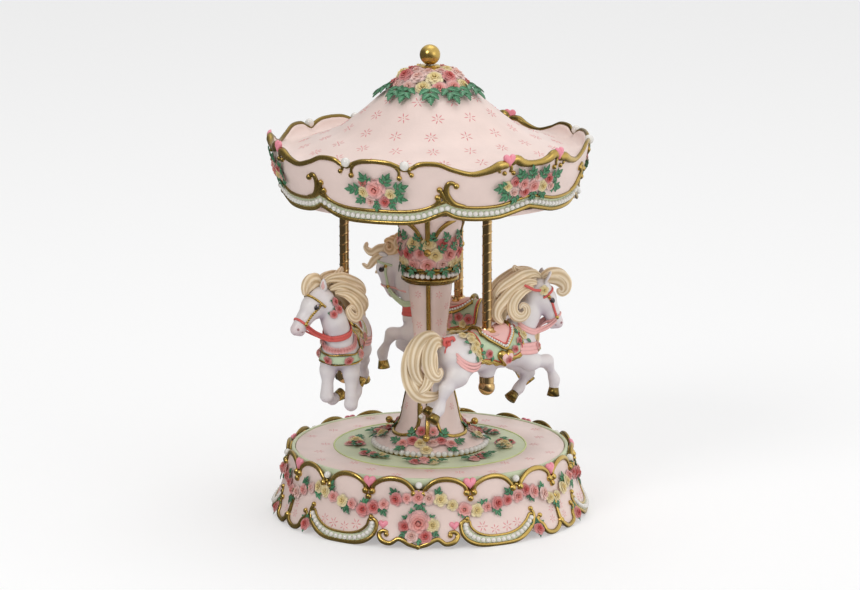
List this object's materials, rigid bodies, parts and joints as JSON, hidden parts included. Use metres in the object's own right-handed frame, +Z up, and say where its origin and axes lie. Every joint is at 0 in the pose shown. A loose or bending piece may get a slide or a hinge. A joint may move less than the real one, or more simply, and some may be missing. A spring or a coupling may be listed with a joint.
{
  "type": "carousel music box",
  "caption": "Musical carousel with prancing horses on twisted brass poles under a round rose-trimmed canopy that turns on a scalloped base with a wind-up movement.",
  "frame": {"origin": "centre of the base's underside, on the surface the box stands on", "axes": "+Z up along the turning axis, -Y the front with the large rose, +X to the viewer's right"},
  "size_m": [0.2003, 0.2004, 0.2959],
  "materials": {
    "pink_resin": "satin painted cast resin",
    "antique_gold": "antique gold paint, worn on the high edges",
    "pearl": "pearlescent",
    "pink_heart": "gloss paint",
    "painted_roses": "painted cast resin",
    "leaf_green": "painted cast resin",
    "pale_green": "satin painted cast resin",
    "horse_resin": "white with a grey wash in the hollows",
    "horse_mane": "cream to blonde wash",
    "ribbon_red": "painted cast resin",
    "ribbon_pink": "painted cast resin",
    "polished_brass": "polished and lacquered",
    "brass": "machined",
    "steel": "plain",
    "base_plate": "moulded"
  },
  "bodies": {
    "base": {"base_shell": "pink_resin", "base_pearls": "pearl", "base_hearts": "pink_heart", "base_roses": "painted_roses", "platform_disc": "pink_resin", "platform_roses": "painted_roses", "base_plate": "base_plate", "base_plate_screws": "steel", "movement_bedplate": "brass", "movement_screws": "steel", "comb": "steel", "comb_screws": "brass", "column_shell": "pink_resin", "column_pearls": "pearl", "column_roses": "painted_roses", "centre_tube": "steel", "tube_nuts": "brass", "shaft_bushes": "brass", "crown_gear": "brass", "thrust_washer": "brass"},
    "winding_key": {"winding_key": "brass", "winding_arbor": "steel"},
    "cylinder": {"pin_cylinder": "brass", "cylinder_shaft": "brass"},
    "governor": {"governor": "steel"},
    "canopy": {"spring_barrel": "brass", "mainspring": "steel", "drive_shaft": "steel", "crank_frame": "steel", "roof_spacer": "brass", "canopy_shell": "pink_resin", "canopy_floor": "pink_resin", "canopy_screws": "steel", "guide_bushes": "brass", "finial_ball": "antique_gold", "finial_collar": "antique_gold", "rose_crown": "painted_roses", "canopy_pearls": "pearl", "canopy_hearts": "pink_heart", "canopy_roses": "painted_roses"},
    "crank_1": {"crankshaft_1": "brass"},
    "horse_1": {"horse_1": "horse_resin", "pole_1": "polished_brass", "yoke_1": "steel", "pole_flange_1": "polished_brass", "pole_ball_1": "polished_brass"},
    "crank_2": {"crankshaft_2": "brass"},
    "horse_2": {"horse_2": "horse_resin", "pole_2": "polished_brass", "yoke_2": "steel", "pole_flange_2": "polished_brass", "pole_ball_2": "polished_brass"},
    "crank_3": {"crankshaft_3": "brass"},
    "horse_3": {"horse_3": "horse_resin", "pole_3": "polished_brass", "yoke_3": "steel", "pole_flange_3": "polished_brass", "pole_ball_3": "polished_brass"}
  },
  "joints": [
    {"name": "canopy_spin", "type": "hinge", "parent": "base", "child": "canopy", "pos_m": [0, 0, 0.2], "axis": [0, 0, 1], "continuous": true},
    {"name": "key_wind", "type": "hinge", "parent": "base", "child": "winding_key", "pos_m": [0, 0, 0.01], "axis": [0, 0, -1], "range_deg": [0, 1440]},
    {"name": "cylinder_spin", "type": "hinge", "parent": "base", "child": "cylinder", "pos_m": [0.026, 0, 0.028], "axis": [1, 0, 0], "continuous": true},
    {"name": "governor_spin", "type": "hinge", "parent": "base", "child": "governor", "pos_m": [0.0416, -0.01, 0.028], "axis": [0, -1, 0], "continuous": true},
    {"name": "crank_1_spin", "type": "hinge", "parent": "canopy", "child": "crank_1", "pos_m": [0.02103, -0.0214, 0.222], "axis": [0.7009, -0.7133, 0], "continuous": true},
    {"name": "horse_1_slide", "type": "slide", "parent": "canopy", "child": "horse_1", "axis": [0, 0, 1], "range_m": [-0.004, 0.004]},
    {"name": "crank_2_spin", "type": "hinge", "parent": "canopy", "child": "crank_2", "pos_m": [0.00802, 0.02891, 0.222], "axis": [0.2672, 0.9636, 0], "continuous": true},
    {"name": "horse_2_slide", "type": "slide", "parent": "canopy", "child": "horse_2", "axis": [0, 0, 1], "range_m": [-0.004, 0.004]},
    {"name": "crank_3_spin", "type": "hinge", "parent": "canopy", "child": "crank_3", "pos_m": [-0.02904, -0.00751, 0.222], "axis": [-0.9681, -0.2504, 0], "continuous": true},
    {"name": "horse_3_slide", "type": "slide", "parent": "canopy", "child": "horse_3", "axis": [0, 0, 1], "range_m": [-0.004, 0.004]}
  ],
  "couplings": [
    {"joint": "cylinder_spin", "follows": "canopy_spin", "ratio": 2.5},
    {"joint": "governor_spin", "follows": "canopy_spin", "ratio": 6.25},
    {"joint": "crank_1_spin", "follows": "canopy_spin", "ratio": -3},
    {"joint": "crank_2_spin", "follows": "canopy_spin", "ratio": -3},
    {"joint": "crank_3_spin", "follows": "canopy_spin", "ratio": -3}
  ]
}
